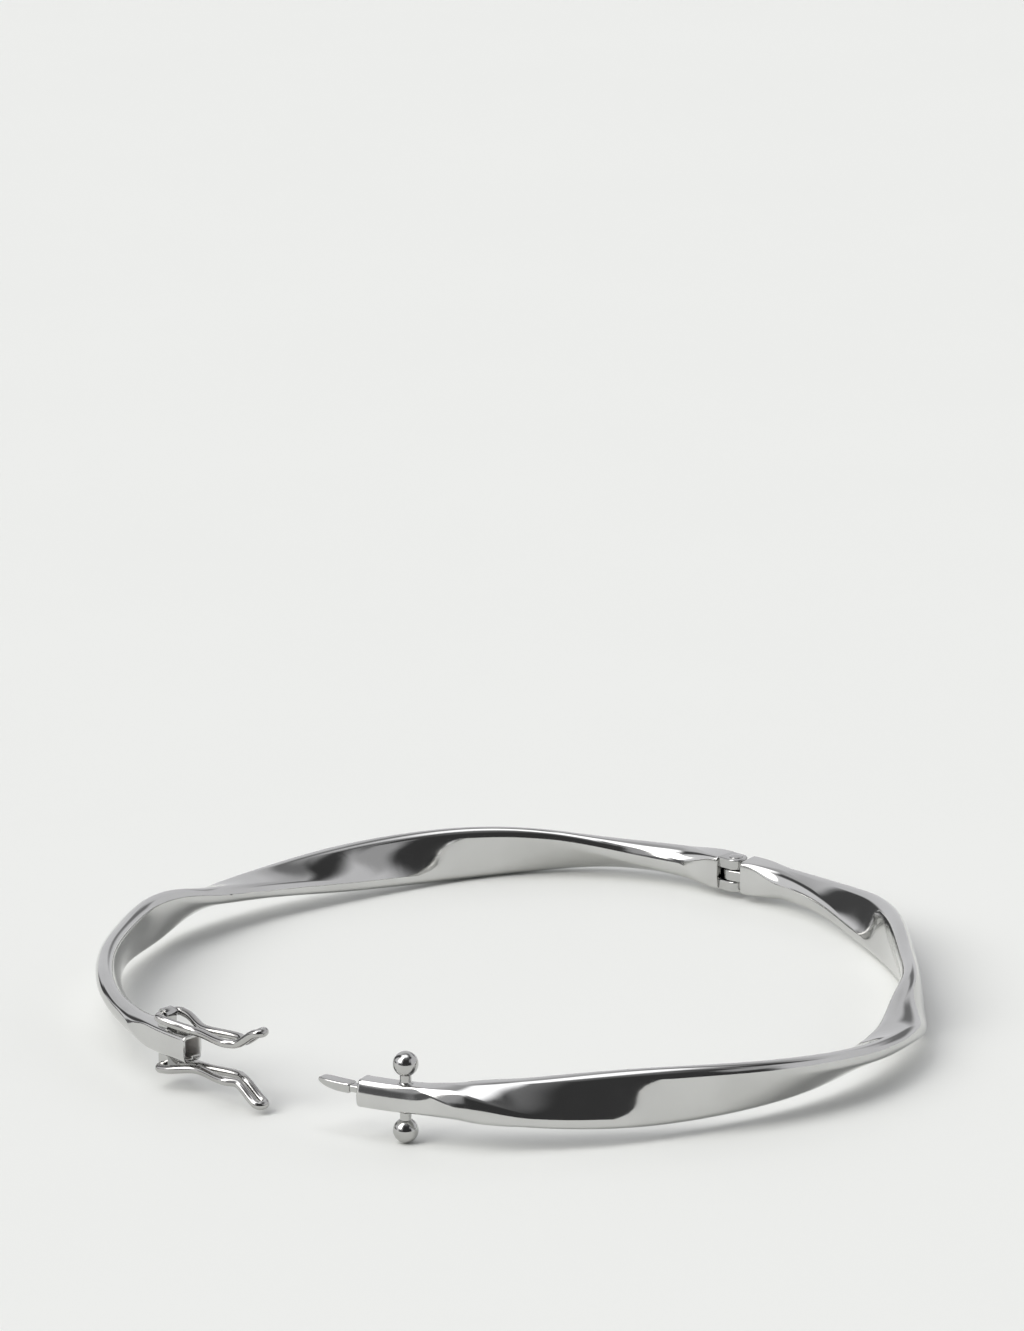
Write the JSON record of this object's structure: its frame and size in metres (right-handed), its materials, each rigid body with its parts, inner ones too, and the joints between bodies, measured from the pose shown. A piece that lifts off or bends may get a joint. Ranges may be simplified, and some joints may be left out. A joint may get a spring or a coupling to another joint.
{
  "type": "bangle bracelet",
  "caption": "Hinged oval bangle of twisted flat silver bands that closes with a tongue-and-box clasp, ball studs and figure-of-eight wire safety catches.",
  "frame": {"origin": "centre of the closed oval at mid height, which is the middle of the wrist opening", "axes": "+X from the clasp to the hinge pin, +Z along the arm, +Y towards the fixed rear half"},
  "size_m": [0.0672, 0.07, 0.0074],
  "materials": {
    "polished_band": "mirror-polished silver",
    "bright_fittings": "polished silver",
    "bright_wire": "polished drawn silver wire"
  },
  "bodies": {
    "rear_half": {"rear_band": "polished_band", "box_keeper": "bright_fittings", "upper_lug": "bright_fittings", "lower_lug": "bright_fittings", "rear_upper_knuckle": "bright_fittings", "rear_lower_knuckle": "bright_fittings", "hinge_pin": "bright_fittings", "rear_hinge_plate": "bright_fittings"},
    "front_half": {"front_band": "polished_band", "front_hinge_plate": "bright_fittings", "front_end_plate": "bright_fittings", "front_knuckle": "bright_fittings", "tongue": "bright_fittings", "upper_stud": "bright_fittings", "lower_stud": "bright_fittings"},
    "upper_catch": {"upper_catch": "bright_wire"},
    "lower_catch": {"lower_catch": "bright_wire"}
  },
  "joints": [
    {"name": "hinge", "type": "hinge", "parent": "rear_half", "child": "front_half", "pos_m": [0.03236, 0, 0], "axis": [0, 0, 1], "range_deg": [-14.8, 60]},
    {"name": "upper_catch_pivot", "type": "hinge", "parent": "rear_half", "child": "upper_catch", "pos_m": [-0.03122, 0.00502, 0.0021], "axis": [-0.9999, 0.0121, 0], "range_deg": [0, 150]},
    {"name": "lower_catch_pivot", "type": "hinge", "parent": "rear_half", "child": "lower_catch", "pos_m": [-0.03122, 0.00502, -0.0021], "axis": [0.9999, -0.0121, 0], "range_deg": [0, 150]}
  ]
}
